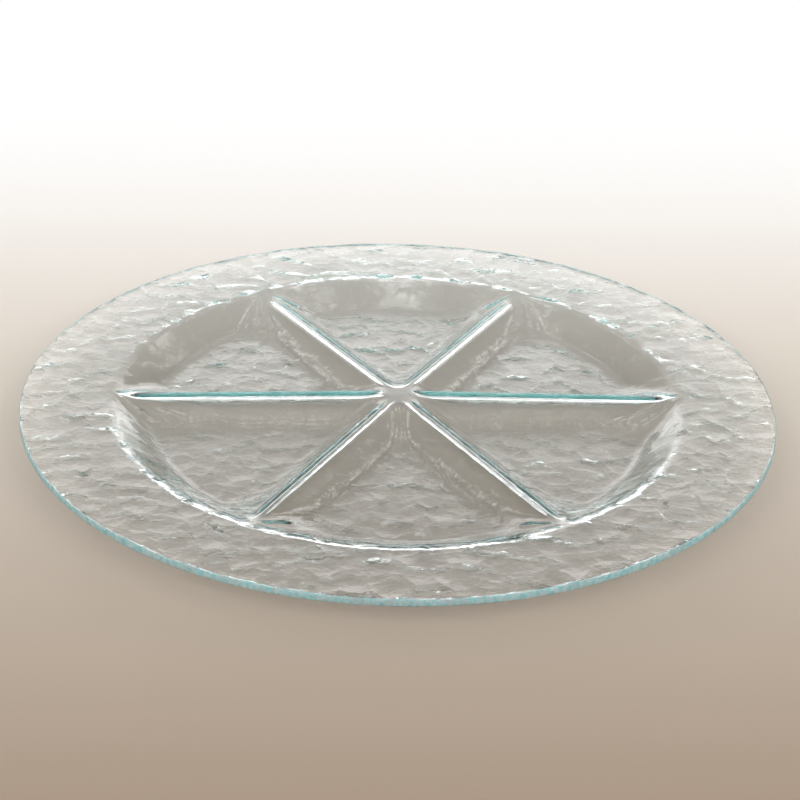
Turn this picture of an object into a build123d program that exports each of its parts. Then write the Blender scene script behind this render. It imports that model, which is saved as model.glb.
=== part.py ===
"""Round divided serving platter, slumped from one sheet of clear hammered glass.

One flat disc of glass is heated over a mould until it sags into six wedge-shaped pockets. The dividers
between them are folds of the same sheet, so the platter is one piece of even thickness, and its under face
follows its upper face at that thickness. Both faces are modelled as the top of a solid form, and the glass
is what lies between the two forms.

Millimetres, +Z up. The origin is on the table at the platter's centre. One divider runs along +X.
"""
from build123d import *
from math import atan2, cos, degrees, hypot, radians, sin, tan
import os

# The sheet
outer_diameter = 406.0
glass_thickness = 4.0
edge_arris = 0.8

# The rim and the well, on the upper face
rim_width = 49.0
rim_rise = 1.5
well_depth = 13.0
wall_slope = 32.0
wall_foot_radius = 12.0

# The dividers, on the upper face
pocket_count = 6
hub_rise = 0.2
crest_fall = 2.4
flank_slope = 45.0
flank_foot_radius = 10.0
valley_radius = 8.0

# The mould's own roundings, on the under face
fin_radius = 2.0
fin_flat = 1.0
shoulder_radius = 8.0

# Room that a cutting form has beyond what it cuts, and the distance within which a point counts as on a face
margin = 10.0
touch = 0.001

outer_radius = outer_diameter / 2
well_radius = outer_radius - rim_width
well_edge_z = glass_thickness + well_depth
hub_z = well_edge_z + hub_rise
pocket_angle = 360 / pocket_count
rim_slope = degrees(atan2(rim_rise, rim_width))
crest_slope = degrees(atan2(crest_fall, well_radius))

# The seams of the revolved faces, clear of the dividers and, at the hub, of the valleys between them
dish_seam = pocket_angle / 2
crown_seam = pocket_angle / 4


def sloped(angle):
    """The normal of a profile line that climbs at this angle, as (r, z)."""
    return Vector(-sin(radians(angle)), cos(radians(angle)))


def sunk_corner(corner, slope_before, slope_after, inset):
    """Where a corner of the profile lies after both its lines are moved down by the inset."""
    before = sloped(slope_before)
    after = sloped(slope_after)
    return Vector(*corner) - (before + after) * (inset / (1 + before.dot(after)))


def dish(inset, arris, base_z):
    """The solid under the floor, wall and rim, an inset below the upper face, with an arris at its edge."""
    floor_radius = well_radius - well_depth / tan(radians(wall_slope))
    foot = sunk_corner((floor_radius, glass_thickness), 0, wall_slope, inset)
    shoulder = sunk_corner((well_radius, well_edge_z), wall_slope, rim_slope, inset)
    rim_end = shoulder + Vector(1, tan(radians(rim_slope))) * (outer_radius - edge_arris - shoulder.X)
    edge = rim_end + arris

    outline = FilletPolyline(
        (0, foot.Y),
        (foot.X, foot.Y),
        (shoulder.X, shoulder.Y),
        (rim_end.X, rim_end.Y),
        radius=[wall_foot_radius + inset, shoulder_radius + glass_thickness - inset],
    )
    base = Polyline((rim_end.X, rim_end.Y), (edge.X, edge.Y), (edge.X, base_z), (0, base_z), (0, foot.Y))
    profile = Plane.XZ * make_face([*outline.edges(), *base.edges()])
    return Rot(0, 0, dish_seam) * revolve(profile, Axis.Z)


def dividers(inset, base_z):
    """The solid under the hub and the dividers, whose outer ends lie inside the dish's wall."""
    top_z = hub_z - inset / cos(radians(crest_slope))
    reach = well_radius + margin
    end_z = top_z - reach * tan(radians(crest_slope))
    outline = Polyline((0, top_z), (reach, end_z), (reach, base_z), (0, base_z), close=True)
    crown = Rot(0, 0, crown_seam) * revolve(Plane.XZ * make_face(outline), Axis.Z)

    pockets = [Rot(0, 0, turn * pocket_angle) * pocket(inset) for turn in range(pocket_count)]
    star = crown - pockets

    def on_crest(edge):
        middle = edge @ 0.5
        radius = hypot(middle.X, middle.Y)
        crest_z = top_z - radius * tan(radians(crest_slope))
        return abs(middle.Z - crest_z) < touch and edge.geom_type not in (GeomType.LINE, GeomType.CIRCLE)

    crests = star.edges().filter_by(on_crest)
    return star.solid().fillet(fin_radius + glass_thickness - inset, crests)


def pocket(inset):
    """The air above the flanks of two neighbouring dividers, rounded where the flanks meet."""
    turn = radians(flank_slope)
    climb = radians(crest_slope)
    along = Vector(cos(climb), 0, -sin(climb))
    above = Vector(sin(climb), 0, cos(climb))
    crest_half = (fin_radius + glass_thickness) * tan(turn / 2) + fin_flat / 2

    def air_beside(side):
        outward = above * cos(turn) + Vector(0, side * sin(turn), 0)
        crest_edge = Vector(0, side * crest_half, hub_z) - outward * inset
        size = 2 * outer_diameter
        block = Box(size, size, size, align=(Align.CENTER, Align.CENTER, Align.MIN))
        return Plane(origin=crest_edge, x_dir=along, z_dir=outward) * block

    wedge = air_beside(1) & Rot(0, 0, pocket_angle) * air_beside(-1)
    valley = wedge.edges().sort_by_distance((0, 0, hub_z))[0]
    return fillet(valley, valley_radius + inset)


def form(inset, arris, base_z):
    """The solid under the whole face, with the dividers blended into the floor and the wall."""
    bowl = dish(inset, arris, base_z)
    star = dividers(inset, base_z)
    joined = bowl + star
    meeting = new_edges(bowl, star, combined=joined)
    return joined.solid().fillet(flank_foot_radius + inset, meeting)


def platter():
    """The glass between the two forms. The lower form's arris runs on past the edge, so it cuts through."""
    upper = form(0, Vector(edge_arris, -edge_arris), -margin)
    under = form(glass_thickness, Vector(margin, margin), -2 * margin)
    return upper - under


os.makedirs("parts", exist_ok=True)
export_step(platter(), "parts/divided_platter.step")
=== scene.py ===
# %% [markdown]
# A divided serving platter of clear hammered glass
#
# The object is one disc of glass that was heated until it sagged over a mould. It has a flat rim, a round
# well, and six pockets between folds of the same sheet. This lesson models the sheet, gives it the finish of
# soda-lime glass, and sets it on a pale floor in soft light.
#
# The CAD model comes first. It is the fixed frame that everything here has to fit, in metres, with the
# platter's centre on the Z axis and the table at zero height.

# %% Load the frame
import bmesh
import bpy
from math import atan2, cos, pi, radians, sin, tan
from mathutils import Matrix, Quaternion, Vector, noise
from mathutils.bvhtree import BVHTree


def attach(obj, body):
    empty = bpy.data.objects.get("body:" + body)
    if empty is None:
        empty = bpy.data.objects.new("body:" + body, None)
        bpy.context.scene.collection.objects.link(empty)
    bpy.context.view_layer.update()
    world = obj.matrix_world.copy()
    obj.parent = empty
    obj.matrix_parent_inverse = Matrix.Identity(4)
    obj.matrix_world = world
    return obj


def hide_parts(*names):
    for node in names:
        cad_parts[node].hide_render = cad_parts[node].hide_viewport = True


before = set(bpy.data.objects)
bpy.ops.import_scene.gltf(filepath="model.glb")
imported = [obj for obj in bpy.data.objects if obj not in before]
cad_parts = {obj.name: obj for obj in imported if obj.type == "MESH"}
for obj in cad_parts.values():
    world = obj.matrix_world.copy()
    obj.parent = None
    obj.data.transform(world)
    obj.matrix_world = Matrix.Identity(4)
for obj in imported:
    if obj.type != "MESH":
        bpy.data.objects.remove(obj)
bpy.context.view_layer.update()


# %% [markdown]
# The camera
#
# The camera is set before anything is modelled, so that every later choice can be compared with the
# photograph. The platter's outline in the photograph is an ellipse, and its shape gives the height of the
# view, while the difference between its near and far halves gives the distance. The picture is also turned a
# little about the line of sight.

# %% Set the camera
# These values come from a fit of the rim, the well and the dividers to the photograph. The sensor and the
# focal length are in millimetres.
MM = 0.001
SENSOR_WIDTH = 36.0
FOCAL_LENGTH = 83.56
VIEW_AZIMUTH = radians(-92.7)
VIEW_ELEVATION = radians(27.87)
VIEW_ROLL = radians(1.62)
VIEW_DISTANCE = 1000.8 * MM
VIEW_TARGET = Vector((0.37, -11.73, 18.46)) * MM

towards_camera = Vector((
    cos(VIEW_ELEVATION) * cos(VIEW_AZIMUTH),
    cos(VIEW_ELEVATION) * sin(VIEW_AZIMUTH),
    sin(VIEW_ELEVATION),
))
lens = bpy.data.cameras.new("camera")
lens.sensor_width = SENSOR_WIDTH
lens.lens = FOCAL_LENGTH
camera = bpy.data.objects.new("camera", lens)
camera.location = VIEW_TARGET + towards_camera * VIEW_DISTANCE
camera.rotation_mode = "QUATERNION"
camera.rotation_quaternion = towards_camera.to_track_quat("Z", "Y") @ Quaternion((0, 0, 1), VIEW_ROLL)
bpy.context.scene.collection.objects.link(camera)
bpy.context.scene.camera = camera
print("Camera at", [round(value, 3) for value in camera.location])

# %% [markdown]
# The profile of the sheet
#
# Half of a section through the platter is a short line: the floor, the wall, and the rim. A lathe would turn
# this line into the dish, and so does a spin in Blender. The line needs only four points. Its two inner
# corners are rounded by a vertex bevel, and the straight runs are then divided so that there are enough rings
# to carry the folds and the hammer marks.

# %% Draw the profile
# These sizes are the ones that the CAD model was built from, in millimetres. The upper face turns over the
# mould's shoulder at that shoulder's radius and the thickness of the glass.
OUTER_RADIUS = 203.0
GLASS_THICKNESS = 4.0
RIM_WIDTH = 49.0
RIM_RISE = 1.5
WELL_DEPTH = 13.0
WALL_SLOPE = radians(32)
WALL_FOOT_RADIUS = 12.0
MOULD_SHOULDER_RADIUS = 8.0
SHOULDER_RADIUS = MOULD_SHOULDER_RADIUS + GLASS_THICKNESS

WELL_RADIUS = OUTER_RADIUS - RIM_WIDTH
WELL_EDGE_Z = GLASS_THICKNESS + WELL_DEPTH
FLOOR_RADIUS = WELL_RADIUS - WELL_DEPTH / tan(WALL_SLOPE)
RIM_SLOPE = atan2(RIM_RISE, RIM_WIDTH)

# The line starts a little way from the axis, so that the spin leaves a small ring there.
HUB_HOLE = 0.5
FOOT_SEGMENTS = 8
SHOULDER_SEGMENTS = 6

sheet = bmesh.new()
corners = [
    sheet.verts.new((radius * MM, 0, height * MM))
    for radius, height in (
        (HUB_HOLE, GLASS_THICKNESS),
        (FLOOR_RADIUS, GLASS_THICKNESS),
        (WELL_RADIUS, WELL_EDGE_Z),
        (OUTER_RADIUS, WELL_EDGE_Z + RIM_RISE),
    )
]
for inner, outer in zip(corners, corners[1:]):
    sheet.edges.new((inner, outer))


def round_corner(corner, radius, turn, segments):
    """Rounds one corner of the profile to this radius, where the line turns by this angle."""
    bmesh.ops.bevel(
        sheet,
        geom=[corner],
        affect="VERTICES",
        offset=radius * MM * tan(turn / 2),
        offset_type="OFFSET",
        segments=segments,
        profile=0.5,
        material=-1,
    )


round_corner(corners[1], WALL_FOOT_RADIUS, WALL_SLOPE, FOOT_SEGMENTS)
round_corner(corners[2], SHOULDER_RADIUS, WALL_SLOPE - RIM_SLOPE, SHOULDER_SEGMENTS)
print("Profile points:", len(sheet.verts))

# %% Divide the straight runs
# A ring about every this many millimetres, closer on the wall, where the folds run out.
FLOOR_RING = 2.6
WALL_RING = 1.6
RIM_RING = 2.3


def divide_run(inner_radius, outer_radius, spacing):
    """Divides each profile edge that lies between two radii and is longer than the spacing."""
    for edge in list(sheet.edges):
        middle = sum(vertex.co.x for vertex in edge.verts) / 2 / MM
        cuts = round(edge.calc_length() / MM / spacing) - 1
        if inner_radius < middle < outer_radius and cuts > 0:
            bmesh.ops.subdivide_edges(sheet, edges=[edge], cuts=cuts)


divide_run(0, FLOOR_RADIUS, FLOOR_RING)
divide_run(FLOOR_RADIUS, WELL_RADIUS, WALL_RING)
divide_run(WELL_RADIUS, OUTER_RADIUS, RIM_RING)
print("Rings:", len(sheet.verts))

# %% [markdown]
# The turned dish
#
# A full spin turns the profile into the dish. Its first and last copies are merged, and the small ring that
# is left at the hub is closed by merging it to one point. The normals are then made to agree, because the
# sheet gets its thickness along them.

# %% Spin the dish
STEPS = 480
PAST_HOLE = 1.5 * HUB_HOLE

bmesh.ops.spin(
    sheet,
    geom=sheet.verts[:] + sheet.edges[:],
    cent=(0, 0, 0),
    axis=(0, 0, 1),
    angle=2 * pi,
    steps=STEPS,
    use_merge=True,
)
hub_ring = [vertex for vertex in sheet.verts if vertex.co.xy.length < PAST_HOLE * MM]
bmesh.ops.pointmerge(sheet, verts=hub_ring, merge_co=(0, 0, GLASS_THICKNESS * MM))
bmesh.ops.recalc_face_normals(sheet, faces=sheet.faces)
if sum(face.normal.z for face in sheet.faces) < 0:
    bmesh.ops.reverse_faces(sheet, faces=sheet.faces)
print("Dish faces:", len(sheet.faces))

# %% [markdown]
# The folds
#
# The dividers aren't pieces that were added. The mould has six fins, and the hot sheet lay over them, so each
# divider is a fold with a round crest, two straight flanks and a soft foot. The dish is already dense enough
# to carry that shape, so its points are lifted instead of joining other meshes to it. The columns of points
# are first drawn together at the crests, where the surface turns fastest.
#
# Each flank is a plane, and the crest cuts two of them off. Two heights are joined by a smooth maximum, which
# is the larger of them with a round blend near the place where they cross. The blend's size comes from the
# radius of the real rounding. The CAD model has one fillet all along the foot of a fold. The photograph shows
# a softer foot and rounder corners of the pockets, so the blend is larger there.

# %% Draw the columns together at the crests
# The crowding is even up to the well's edge and ends in the rim, at this radius in millimetres.
DIVIDERS = 6
CREST_CROWDING = 0.6
CROWDING_END = 175.0


def fade(value, start, end):
    """1 before start, 0 after end, and an even slope between them."""
    return min(max((end - value) / (end - start), 0.0), 1.0)


for vertex in sheet.verts:
    radius = vertex.co.xy.length
    angle = atan2(vertex.co.y, vertex.co.x)
    crowding = CREST_CROWDING * fade(radius / MM, WELL_RADIUS, CROWDING_END)
    angle -= crowding * sin(DIVIDERS * angle) / DIVIDERS
    vertex.co.xy = (radius * cos(angle), radius * sin(angle))
print("Columns from crest to crest:", STEPS // DIVIDERS)

# %% Size the folds
# These sizes are the CAD model's too. The upper face turns over a fin at that fin's radius and the thickness
# of the glass. The valley's turn is the angle between two neighbouring flanks where they meet at the hub.
HUB_RISE = 0.2
CREST_FALL = 2.4
FIN_RADIUS = 2.0
CREST_RADIUS = FIN_RADIUS + GLASS_THICKNESS
CREST_FLAT = 1.0
FLANK_SLOPE = radians(45)
FLANK_FOOT_RADIUS = 10.0
VALLEY_RADIUS = 8.0
VALLEY_TURN = radians(75.5)

HUB_Z = WELL_EDGE_Z + HUB_RISE
SECTOR = 2 * pi / DIVIDERS
CREST_SLOPE = CREST_FALL / WELL_RADIUS
CREST_HALF = CREST_RADIUS * tan(FLANK_SLOPE / 2) + CREST_FLAT / 2


def blend_size(radius, turn):
    """The smooth maximum's blend for a rounding of this radius where two faces turn by this angle."""
    return 4 * radius * (1 / cos(turn / 2) - 1) / cos(turn / 2)


CREST_BLEND = blend_size(CREST_RADIUS, FLANK_SLOPE)
VALLEY_BLEND = blend_size(VALLEY_RADIUS, VALLEY_TURN)
RIM_BLEND = blend_size(FLANK_FOOT_RADIUS, WALL_SLOPE)
print("Blends in mm:", [round(blend, 2) for blend in (CREST_BLEND, VALLEY_BLEND, RIM_BLEND)])


# %% Draw one fold
def smooth_max(first, second, blend):
    """The larger of two heights, with a round blend where they cross."""
    overlap = max(blend - abs(first - second), 0.0)
    return max(first, second) + overlap**2 / (4 * blend)


def flank_height(radius, turn):
    """The height of a divider's flank at this distance from the hub and this angle from the crest line."""
    side = radius * abs(sin(turn)) - CREST_HALF
    return HUB_Z - radius * cos(turn) * CREST_SLOPE - side * tan(FLANK_SLOPE)


def fold_height(radius, angle):
    """The height of the folds: two neighbouring flanks, joined in a valley and cut off at the crest."""
    turn = angle % SECTOR
    flanks = smooth_max(flank_height(radius, turn), flank_height(radius, SECTOR - turn), VALLEY_BLEND)
    crest = HUB_Z - radius * CREST_SLOPE
    return -smooth_max(-flanks, -crest, CREST_BLEND)


print("Crest at the well's edge in mm:", round(fold_height(WELL_RADIUS, 0), 2))

# %% Lift the folds
# The foot's blend makes about a 17 mm rounding. It firms up to the CAD model's fillet across the well's edge.
FOOT_BLEND = 6.0
SOFT_UNTIL = WELL_RADIUS - 8
FIRM_FROM = WELL_RADIUS + 4

# The corners' blend is added to it where the floor nears the wall, and less and less towards the crest.
CORNER_BLEND = 18.0
CORNER_FROM = FLOOR_RADIUS - 20
CORNER_FULL = FLOOR_RADIUS + 4
CREST_END_Z = WELL_EDGE_Z - CREST_FALL

for vertex in sheet.verts:
    radius = vertex.co.xy.length / MM
    fold = fold_height(radius, atan2(vertex.co.y, vertex.co.x))
    height = vertex.co.z / MM
    blend = RIM_BLEND + (FOOT_BLEND - RIM_BLEND) * fade(radius, SOFT_UNTIL, FIRM_FROM)
    near_wall = 1 - fade(radius, CORNER_FROM, CORNER_FULL)
    low = fade(max(height, fold), GLASS_THICKNESS, CREST_END_Z)
    vertex.co.z = smooth_max(height, fold, blend + CORNER_BLEND * near_wall * low) * MM
print("Hub height in mm:", round(max(v.co.z for v in sheet.verts if v.co.xy.length < MM) / MM, 2))

# %% [markdown]
# The thickness
#
# The sheet has the same thickness everywhere, so the under face is the upper face moved down along its
# normals. It could be modelled in the same steps with other sizes, but Solidify does it at once, and closes
# the outer edge with a band.

# %% Give the sheet its thickness
# A normal whose Z is larger than this faces up or down, and one whose Z is smaller lies in the edge band.
FACING = 0.3

sheet.normal_update()
bmesh.ops.solidify(sheet, geom=sheet.faces[:], thickness=GLASS_THICKNESS * MM)
sheet.normal_update()

# Two values for the glass are kept at each point: how strong the hammering is, and whether the edge is ground
# there. The layers are made before any faces and points are listed, because a new layer can spoil such lists.
hammering = sheet.verts.layers.float.new("hammering")
ground = sheet.verts.layers.float.new("ground")
edge_band = {face for face in sheet.faces if abs(face.normal.z) < FACING}
upper_points = {vertex for face in sheet.faces if face.normal.z > FACING for vertex in face.verts}
print("Closed sheet:", len(sheet.verts), "points,", len(edge_band), "faces in the edge band")

# %% [markdown]
# The hammer marks
#
# The upper face is covered with shallow round dents that meet in low ridges, as on beaten metal. The under
# face lay on the mould and is smooth. The dents could be bump in the material, but they bend what is seen
# through the glass and make its edge wavy, so they are real geometry. The squared distance to the nearest of
# many scattered points makes just such dents: each point is the middle of a bowl, and two bowls meet halfway.
#
# Over the folds the hot sheet was stretched, and the marks are fainter. Inside the dents there are finer
# crinkles, which are bump in the glass, and which are fainter on the wall as well. How strong they are is
# kept at each point for the material.

# %% Hammer the upper face
# The dents' width and depth are in millimetres. Their rim is where the squared distance is cut off, and the
# mean is taken away so that the face keeps its height.
DENT_WIDTH = 17.0
DENT_DEPTH = 1.0
DENT_RIM = 0.75
MEAN_DENT = 0.3

# How much of the marks is lost on a fold and on the wall, and the heights and radii between which they fade.
FOLD_CALM = 0.75
WALL_CALM = 0.6
FOLD_LOW_Z = GLASS_THICKNESS + 3
FOLD_HIGH_Z = WELL_EDGE_Z - 4
FOLD_END = WELL_RADIUS + 6
WALL_START = FLOOR_RADIUS - 6
WALL_END = WELL_RADIUS - 2

for vertex in upper_points:
    spot = Vector((vertex.co.x, vertex.co.y, 0)) / (DENT_WIDTH * MM)
    squared_distance = noise.voronoi(spot, distance_metric="DISTANCE_SQUARED")[0][0]
    rise = min(squared_distance, DENT_RIM)
    radius = vertex.co.xy.length / MM
    fold = fold_height(radius, atan2(vertex.co.y, vertex.co.x))
    on_fold = fade(radius, WELL_RADIUS, FOLD_END) * (1 - fade(fold, FOLD_LOW_Z, FOLD_HIGH_Z))
    on_wall = min(fade(radius, WALL_END, WELL_RADIUS), 1 - fade(radius, WALL_START, FLOOR_RADIUS))
    strength = 1 - FOLD_CALM * on_fold
    vertex.co.z += strength * DENT_DEPTH * (rise - MEAN_DENT) * MM
    vertex[hammering] = strength * (1 - WALL_CALM * on_wall)
print("Hammered points:", len(upper_points))

# %% [markdown]
# The cut edge
#
# The disc was cut out with its texture on it, so the upper line of the edge is a little wavy. The edge was
# ground flat, and both its corners were taken off by a small bevel, as on any safe glass edge. The ground
# points are marked too, because ground glass is rough.

# %% Bevel the edge
EDGE_ARRIS = 0.8
ARRIS_SEGMENTS = 2

arrises = [
    edge
    for edge in sheet.edges
    if len({face in edge_band for face in edge.link_faces}) == 2
]
bmesh.ops.bevel(
    sheet,
    geom=arrises,
    affect="EDGES",
    offset=EDGE_ARRIS * MM,
    offset_type="OFFSET",
    segments=ARRIS_SEGMENTS,
    profile=0.5,
    material=-1,
)
bmesh.ops.recalc_face_normals(sheet, faces=sheet.faces)
for vertex in sheet.verts:
    vertex[ground] = 1.0 if vertex.co.xy.length > (OUTER_RADIUS - EDGE_ARRIS / 2) * MM else 0.0
for face in sheet.faces:
    face.smooth = True
print("Arris edges:", len(arrises))

# %% [markdown]
# The finished piece
#
# The mesh becomes one object, which rides on the platter's own body and takes the CAD node's place in the
# picture. Only the hammer marks and the softer feet and corners of the folds should set it apart from the CAD
# model, so the distance between the two is measured at every point.

# %% Make the platter
mesh = bpy.data.meshes.new("hammered_platter")
sheet.to_mesh(mesh)
platter = bpy.data.objects.new("hammered_platter", mesh)
bpy.context.scene.collection.objects.link(platter)
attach(platter, "root")
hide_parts("divided_platter")
print("Triangles:", sum(len(polygon.vertices) - 2 for polygon in mesh.polygons))

# %% Measure it against the CAD model
# Points of the CAD mesh that are closer than this, in millimetres, are one point.
SAME_POINT = 0.001

cad_mesh = bmesh.new()
cad_mesh.from_mesh(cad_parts["divided_platter"].data)
bmesh.ops.remove_doubles(cad_mesh, verts=cad_mesh.verts, dist=SAME_POINT * MM)
cad_surface = BVHTree.FromBMesh(cad_mesh)
gaps = sorted(cad_surface.find_nearest(vertex.co)[3] / MM for vertex in sheet.verts)
print("Median distance from the CAD surface in mm:", round(gaps[len(gaps) // 2], 3))
print("Largest distance from it in mm:", round(gaps[-1], 3))
print("Volume in cm3:", round(sheet.calc_volume() / (10 * MM) ** 3, 1))
cad_mesh.free()
sheet.free()

# %% [markdown]
# The glass
#
# The real material is soda-lime float glass. It bends light with an index of 1.52 and is almost clear through
# its thickness, but it holds a trace of iron, so it turns blue-green where the light travels a long way
# inside it, along the cut edge and the folds. That is absorption in the volume, not a colour of the surface.
#
# The crinkles inside the dents are sharper than the mesh can hold, so they are bump: cells that drift out of
# round, and a finer ripple over them. To the eye they break each reflection into flecks. The faces are
# fire-polished, so their roughness is low, with faint smudges of handling. The edge is ground, which leaves a
# pale, streaked line that lets only some of the light through.


# %% Helpers for materials
def colour(code):
    """The linear colour of an sRGB hex code."""
    channels = [int(code[start:start + 2], 16) / 255 for start in (1, 3, 5)]
    return [c / 12.92 if c <= 0.04045 else ((c + 0.055) / 1.055) ** 2.4 for c in channels] + [1.0]


def empty_tree(owner):
    """The node tree of a material or a world, with nothing in it."""
    owner.use_nodes = True
    owner.node_tree.nodes.clear()
    return owner.node_tree


def add(tree, kind, inputs=None, stops=(), **settings):
    """Adds a node with its settings and colour stops, and gives each input a value or a link."""
    made = tree.nodes.new(kind)
    for name, value in settings.items():
        setattr(made, name, value)
    for name, value in (inputs or {}).items():
        if isinstance(value, bpy.types.NodeSocket):
            tree.links.new(value, made.inputs[name])
        else:
            made.inputs[name].default_value = value
    for count, (position, tone) in enumerate(stops):
        stop = made.color_ramp.elements[count] if count < 2 else made.color_ramp.elements.new(position)
        stop.position = position
        stop.color = tone
    return made


WHITE = colour("#FFFFFF")

# A Mix node has sockets for every type of data. These are the ones for colours: A, B and the result.
MIX_A = 6
MIX_B = 7
MIX_RESULT = 2
print("White in linear light:", WHITE)

# %% Crinkle the glass
# Real sizes in millimetres: the cells, how far they drift, and the ripple.
CELL_WIDTH = 12.0
CELL_DRIFT = 8.0
CELL_DEPTH = 1.0
RIPPLE_WIDTH = 2.6
RIPPLE_HEIGHT = 0.25

glass = bpy.data.materials.new("hammered_soda_lime_glass")
tree = empty_tree(glass)
place = add(tree, "ShaderNodeTexCoord").outputs["Object"]
drift = add(tree, "ShaderNodeTexNoise", {"Vector": place, "Scale": 1 / (CELL_WIDTH * MM), "Detail": 1.0})
warped = add(
    tree,
    "ShaderNodeVectorMath",
    {0: drift.outputs["Color"], 1: [CELL_DRIFT * MM] * 3, 2: place},
    operation="MULTIPLY_ADD",
)
cells = add(
    tree, "ShaderNodeTexVoronoi", {"Vector": warped.outputs[0], "Scale": 1 / (CELL_WIDTH * MM)}
)
bowls = add(tree, "ShaderNodeMath", {0: cells.outputs["Distance"], 1: 2.0}, operation="POWER")
marks = add(tree, "ShaderNodeAttribute", attribute_name="hammering").outputs["Fac"]
bump = add(
    tree,
    "ShaderNodeBump",
    {"Height": bowls.outputs[0], "Distance": CELL_DEPTH * MM, "Strength": marks},
)
ripple = add(tree, "ShaderNodeTexNoise", {"Vector": place, "Scale": 1 / (RIPPLE_WIDTH * MM), "Detail": 2.0})
crinkle = add(
    tree,
    "ShaderNodeBump",
    {
        "Height": ripple.outputs["Fac"],
        "Distance": RIPPLE_HEIGHT * MM,
        "Strength": marks,
        "Normal": bump.outputs["Normal"],
    },
)
print("Nodes for the crinkles:", len(tree.nodes))

# %% Polish the faces and grind the edge
# The smudges' width is in millimetres. Real grinding marks are much finer than the ripple, but they are drawn
# with it, because they would be too fine to show.
SMUDGE_WIDTH = 40
SMUDGE_ROUGHNESS = 0.06
GROUND_ROUGHNESS = 0.7
STREAK_TONES = {0.36: "#93CED2", 0.64: "#E4F6F6"}
GRAIN_LOW = 0.3
GRAIN_HIGH = 0.7
LEAST_CLARITY = 0.35
MOST_CLARITY = 0.8

smudge = add(tree, "ShaderNodeTexNoise", {"Vector": place, "Scale": 1 / (SMUDGE_WIDTH * MM), "Detail": 4.0})
polish = add(tree, "ShaderNodeMapRange", {"Value": smudge.outputs["Fac"], "To Max": SMUDGE_ROUGHNESS})
ground_edge = add(tree, "ShaderNodeAttribute", attribute_name="ground").outputs["Fac"]
roughness = add(
    tree,
    "ShaderNodeMapRange",
    {"Value": ground_edge, "To Min": polish.outputs["Result"], "To Max": GROUND_ROUGHNESS},
)
streaks = add(
    tree,
    "ShaderNodeValToRGB",
    {"Fac": ripple.outputs["Fac"]},
    stops=[(height, colour(code)) for height, code in STREAK_TONES.items()],
)
tint = add(
    tree,
    "ShaderNodeMix",
    {0: ground_edge, MIX_A: WHITE, MIX_B: streaks.outputs["Color"]},
    data_type="RGBA",
)
grain = add(
    tree,
    "ShaderNodeMapRange",
    {
        "Value": ripple.outputs["Fac"],
        "From Min": GRAIN_LOW,
        "From Max": GRAIN_HIGH,
        "To Min": LEAST_CLARITY,
        "To Max": MOST_CLARITY,
    },
)
clarity = add(
    tree,
    "ShaderNodeMapRange",
    {"Value": ground_edge, "To Min": 1.0, "To Max": grain.outputs["Result"]},
)
print("Nodes with the edge:", len(tree.nodes))

# %% Finish the glass
# The iron's colour is what is left of white light after a long way through the glass.
GLASS_IOR = 1.52
IRON_COLOUR = "#3AE4E0"
IRON_DENSITY = 6.0

surface = add(
    tree,
    "ShaderNodeBsdfPrincipled",
    {
        "Base Color": tint.outputs[MIX_RESULT],
        "IOR": GLASS_IOR,
        "Transmission Weight": clarity.outputs["Result"],
        "Roughness": roughness.outputs["Result"],
        "Normal": crinkle.outputs["Normal"],
    },
)
iron = add(tree, "ShaderNodeVolumeAbsorption", {"Color": colour(IRON_COLOUR), "Density": IRON_DENSITY})
add(
    tree,
    "ShaderNodeOutputMaterial",
    {"Surface": surface.outputs["BSDF"], "Volume": iron.outputs["Volume"]},
)
mesh.materials.append(glass)
print("Glass nodes:", len(tree.nodes))

# %% [markdown]
# The floor
#
# The platter stands on a plain pale floor of matt paint. One colour would do, but in the photograph the
# ground is darker towards the camera and fades to white behind the platter, so its tone follows the depth,
# and it ends in white all round. The lightening towards the back is partly the floor's own tone and partly
# painted sheen of light from behind. The white is given off only to the camera and to what the glass
# mirrors or lets through, so it adds no light to the object, and the floor near the platter keeps its shadow.

# %% Make the floor
# Half the floor's width in metres, and its distance below the glass in millimetres, so that they don't touch.
FLOOR_SIZE = 12.0
FLOOR_GAP = 0.2

floor_grid = bmesh.new()
bmesh.ops.create_grid(floor_grid, x_segments=1, y_segments=1, size=FLOOR_SIZE)
bmesh.ops.translate(floor_grid, verts=floor_grid.verts, vec=(0, 0, -FLOOR_GAP * MM))
floor_mesh = bpy.data.meshes.new("floor")
floor_grid.to_mesh(floor_mesh)
floor_grid.free()
floor = bpy.data.objects.new("floor", floor_mesh)
bpy.context.scene.collection.objects.link(floor)
print("Floor faces:", len(floor_mesh.polygons))

# %% Paint the floor
# The tone of the floor at each of these distances behind the platter's centre, in millimetres. The
# lighter tones further back are partly painted sheen of light from behind.
FLOOR_TONES_AND_SHEEN = {-400: "#9B8571", -150: "#BDB0A2", 100: "#DDD4C9", 300: "#F1EDE8", 600: "#FFFFFF"}
NEAREST_TONE = min(FLOOR_TONES_AND_SHEEN)
FARTHEST_TONE = max(FLOOR_TONES_AND_SHEEN)

pale = bpy.data.materials.new("pale_floor")
tree = empty_tree(pale)
place = add(tree, "ShaderNodeTexCoord").outputs["Object"]
depth = add(tree, "ShaderNodeSeparateXYZ", {"Vector": place}).outputs["Y"]
along = add(
    tree,
    "ShaderNodeMapRange",
    {"Value": depth, "From Min": NEAREST_TONE * MM, "From Max": FARTHEST_TONE * MM},
)
# The floor's own tone, with painted sheen of light from behind that lightens it towards the back.
tone = add(
    tree,
    "ShaderNodeValToRGB",
    {"Fac": along.outputs["Result"]},
    stops=[
        ((distance - NEAREST_TONE) / (FARTHEST_TONE - NEAREST_TONE), colour(code))
        for distance, code in FLOOR_TONES_AND_SHEEN.items()
    ],
)
matt = add(tree, "ShaderNodeBsdfDiffuse", {"Color": tone.outputs["Color"]})
print("Floor tones:", len(FLOOR_TONES_AND_SHEEN))

# %% Fade the floor to white
# In millimetres: where the white starts behind the platter, and where it starts and is full all round.
WHITE_STARTS = 250
PALE_STARTS = 700
PALE_ENDS = 1500

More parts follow.
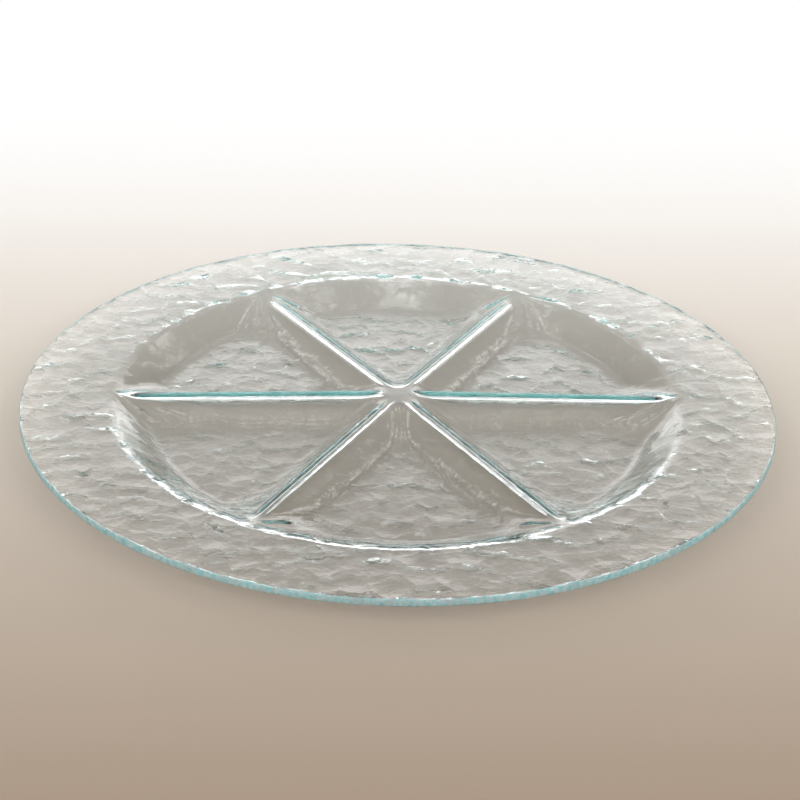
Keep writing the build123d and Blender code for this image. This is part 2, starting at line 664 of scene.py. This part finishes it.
far = add(
    tree,
    "ShaderNodeMapRange",
    {"Value": depth, "From Min": WHITE_STARTS * MM, "From Max": FARTHEST_TONE * MM},
    interpolation_type="SMOOTHSTEP",
)
away = add(tree, "ShaderNodeVectorMath", {0: place}, operation="LENGTH").outputs["Value"]
around = add(
    tree,
    "ShaderNodeMapRange",
    {"Value": away, "From Min": PALE_STARTS * MM, "From Max": PALE_ENDS * MM},
    interpolation_type="SMOOTHSTEP",
)
whiteness = add(
    tree, "ShaderNodeMath", {0: far.outputs["Result"], 1: around.outputs["Result"]}, operation="MAXIMUM"
)
rays = add(tree, "ShaderNodeLightPath").outputs
direct = add(
    tree, "ShaderNodeMath", {0: rays["Is Camera Ray"], 1: rays["Is Glossy Ray"]}, operation="MAXIMUM"
)
seen = add(
    tree, "ShaderNodeMath", {0: direct.outputs[0], 1: rays["Is Transmission Ray"]}, operation="MAXIMUM"
)
glow = add(tree, "ShaderNodeMath", {0: seen.outputs[0], 1: whiteness.outputs[0]}, operation="MULTIPLY")
white = add(tree, "ShaderNodeEmission", {"Color": WHITE, "Strength": 1.0})
paint = add(
    tree,
    "ShaderNodeMixShader",
    {0: glow.outputs[0], 1: matt.outputs["BSDF"], 2: white.outputs["Emission"]},
)
add(tree, "ShaderNodeOutputMaterial", {"Surface": paint.outputs["Shader"]})
floor_mesh.materials.append(pale)
print("Floor nodes:", len(tree.nodes))

# %% [markdown]
# The light
#
# The light is soft and comes from all round. Clear glass shows its surroundings more than itself, so what it
# mirrors has to be drawn with care. Lamps could do it, but panels painted on the world are simpler and need
# no objects. Low down behind the platter there is a narrow bright panel, whose reflection draws the white
# lines along the well and the folds. A second one hangs high behind the camera. In all other directions there
# is a dim ceiling of small soft lamps, which picks out the hammer marks on the walls and from above.

# %% Place the panels
# Each panel fades in from the first to the second of these parts of a direction that is one unit long.
PANEL_SIDES = (0.42, 0.22)
PANEL_AHEAD = (0.25, 0.6)
PANEL_BEHIND = (-0.1, -0.5)

world = bpy.data.worlds.new("studio")
bpy.context.scene.world = world
tree = empty_tree(world)
direction = add(tree, "ShaderNodeTexCoord").outputs["Generated"]
axes = add(tree, "ShaderNodeSeparateXYZ", {"Vector": direction}).outputs
sideways = add(tree, "ShaderNodeMath", {0: axes["X"]}, operation="ABSOLUTE")
near_axis = add(
    tree,
    "ShaderNodeMapRange",
    {"Value": sideways.outputs[0], "From Min": PANEL_SIDES[0], "From Max": PANEL_SIDES[1]},
    interpolation_type="SMOOTHSTEP",
)
forward = add(
    tree,
    "ShaderNodeMapRange",
    {"Value": axes["Y"], "From Min": PANEL_AHEAD[0], "From Max": PANEL_AHEAD[1]},
    interpolation_type="SMOOTHSTEP",
)
ahead = add(
    tree,
    "ShaderNodeMath",
    {0: near_axis.outputs["Result"], 1: forward.outputs["Result"]},
    operation="MULTIPLY",
)
behind = add(
    tree,
    "ShaderNodeMapRange",
    {"Value": axes["Y"], "From Min": PANEL_BEHIND[0], "From Max": PANEL_BEHIND[1]},
    interpolation_type="SMOOTHSTEP",
)
print("Nodes for the panels' places:", len(tree.nodes))

# %% Paint the panels and the lamps
# The brightness of each panel at the height of a direction, where 0 is level and 1 is straight up.
FRONT_PANEL = {0.06: 0.2, 0.14: 1.0, 0.30: 1.0, 0.40: 0.72, 0.47: 0.44, 0.56: 0.22, 0.85: 0.22}
BACK_PANEL = {0.3: 0.3, 0.45: 1.35, 0.7: 1.35, 0.9: 0.22}

# The lamps' spacing is a part of the direction, and their reach a part of the spacing.
LAMP_SPACING = 0.3
LAMP_REACH = 0.4
LAMP_CENTRE = 1.7
BETWEEN_LAMPS = 0.03


def greys(panel):
    """The colour stops of a panel, from its brightness at each height."""
    return [(height, [brightness] * 3 + [1.0]) for height, brightness in panel.items()]


front = add(tree, "ShaderNodeValToRGB", {"Fac": axes["Z"]}, stops=greys(FRONT_PANEL))
back = add(tree, "ShaderNodeValToRGB", {"Fac": axes["Z"]}, stops=greys(BACK_PANEL))
lamps = add(
    tree,
    "ShaderNodeTexVoronoi",
    {"Vector": direction, "Scale": 1 / LAMP_SPACING, "Randomness": 0.0},
    voronoi_dimensions="2D",
)
ceiling = add(
    tree,
    "ShaderNodeMapRange",
    {
        "Value": lamps.outputs["Distance"],
        "From Max": LAMP_REACH,
        "To Min": LAMP_CENTRE,
        "To Max": BETWEEN_LAMPS,
    },
    interpolation_type="SMOOTHSTEP",
)
print("Nodes with the lamps:", len(tree.nodes))

# %% Light the scene
# Light crosses the glass many times before it leaves, so its paths may be long.
LIGHT_STRENGTH = 2.2
MOST_BOUNCES = 32
GLOSSY_BOUNCES = 16
TRANSMISSION_BOUNCES = 24

room = add(
    tree,
    "ShaderNodeMix",
    {0: behind.outputs["Result"], MIX_A: ceiling.outputs["Result"], MIX_B: back.outputs["Color"]},
    data_type="RGBA",
)
studio = add(
    tree,
    "ShaderNodeMix",
    {0: ahead.outputs[0], MIX_A: room.outputs[MIX_RESULT], MIX_B: front.outputs["Color"]},
    data_type="RGBA",
)
sky = add(tree, "ShaderNodeBackground", {"Color": studio.outputs[MIX_RESULT], "Strength": LIGHT_STRENGTH})
add(tree, "ShaderNodeOutputWorld", {"Surface": sky.outputs["Background"]})

scene = bpy.context.scene
scene.cycles.max_bounces = MOST_BOUNCES
scene.cycles.glossy_bounces = GLOSSY_BOUNCES
scene.cycles.transmission_bounces = TRANSMISSION_BOUNCES
scene.view_settings.view_transform = "Standard"
print("Light nodes:", len(tree.nodes))
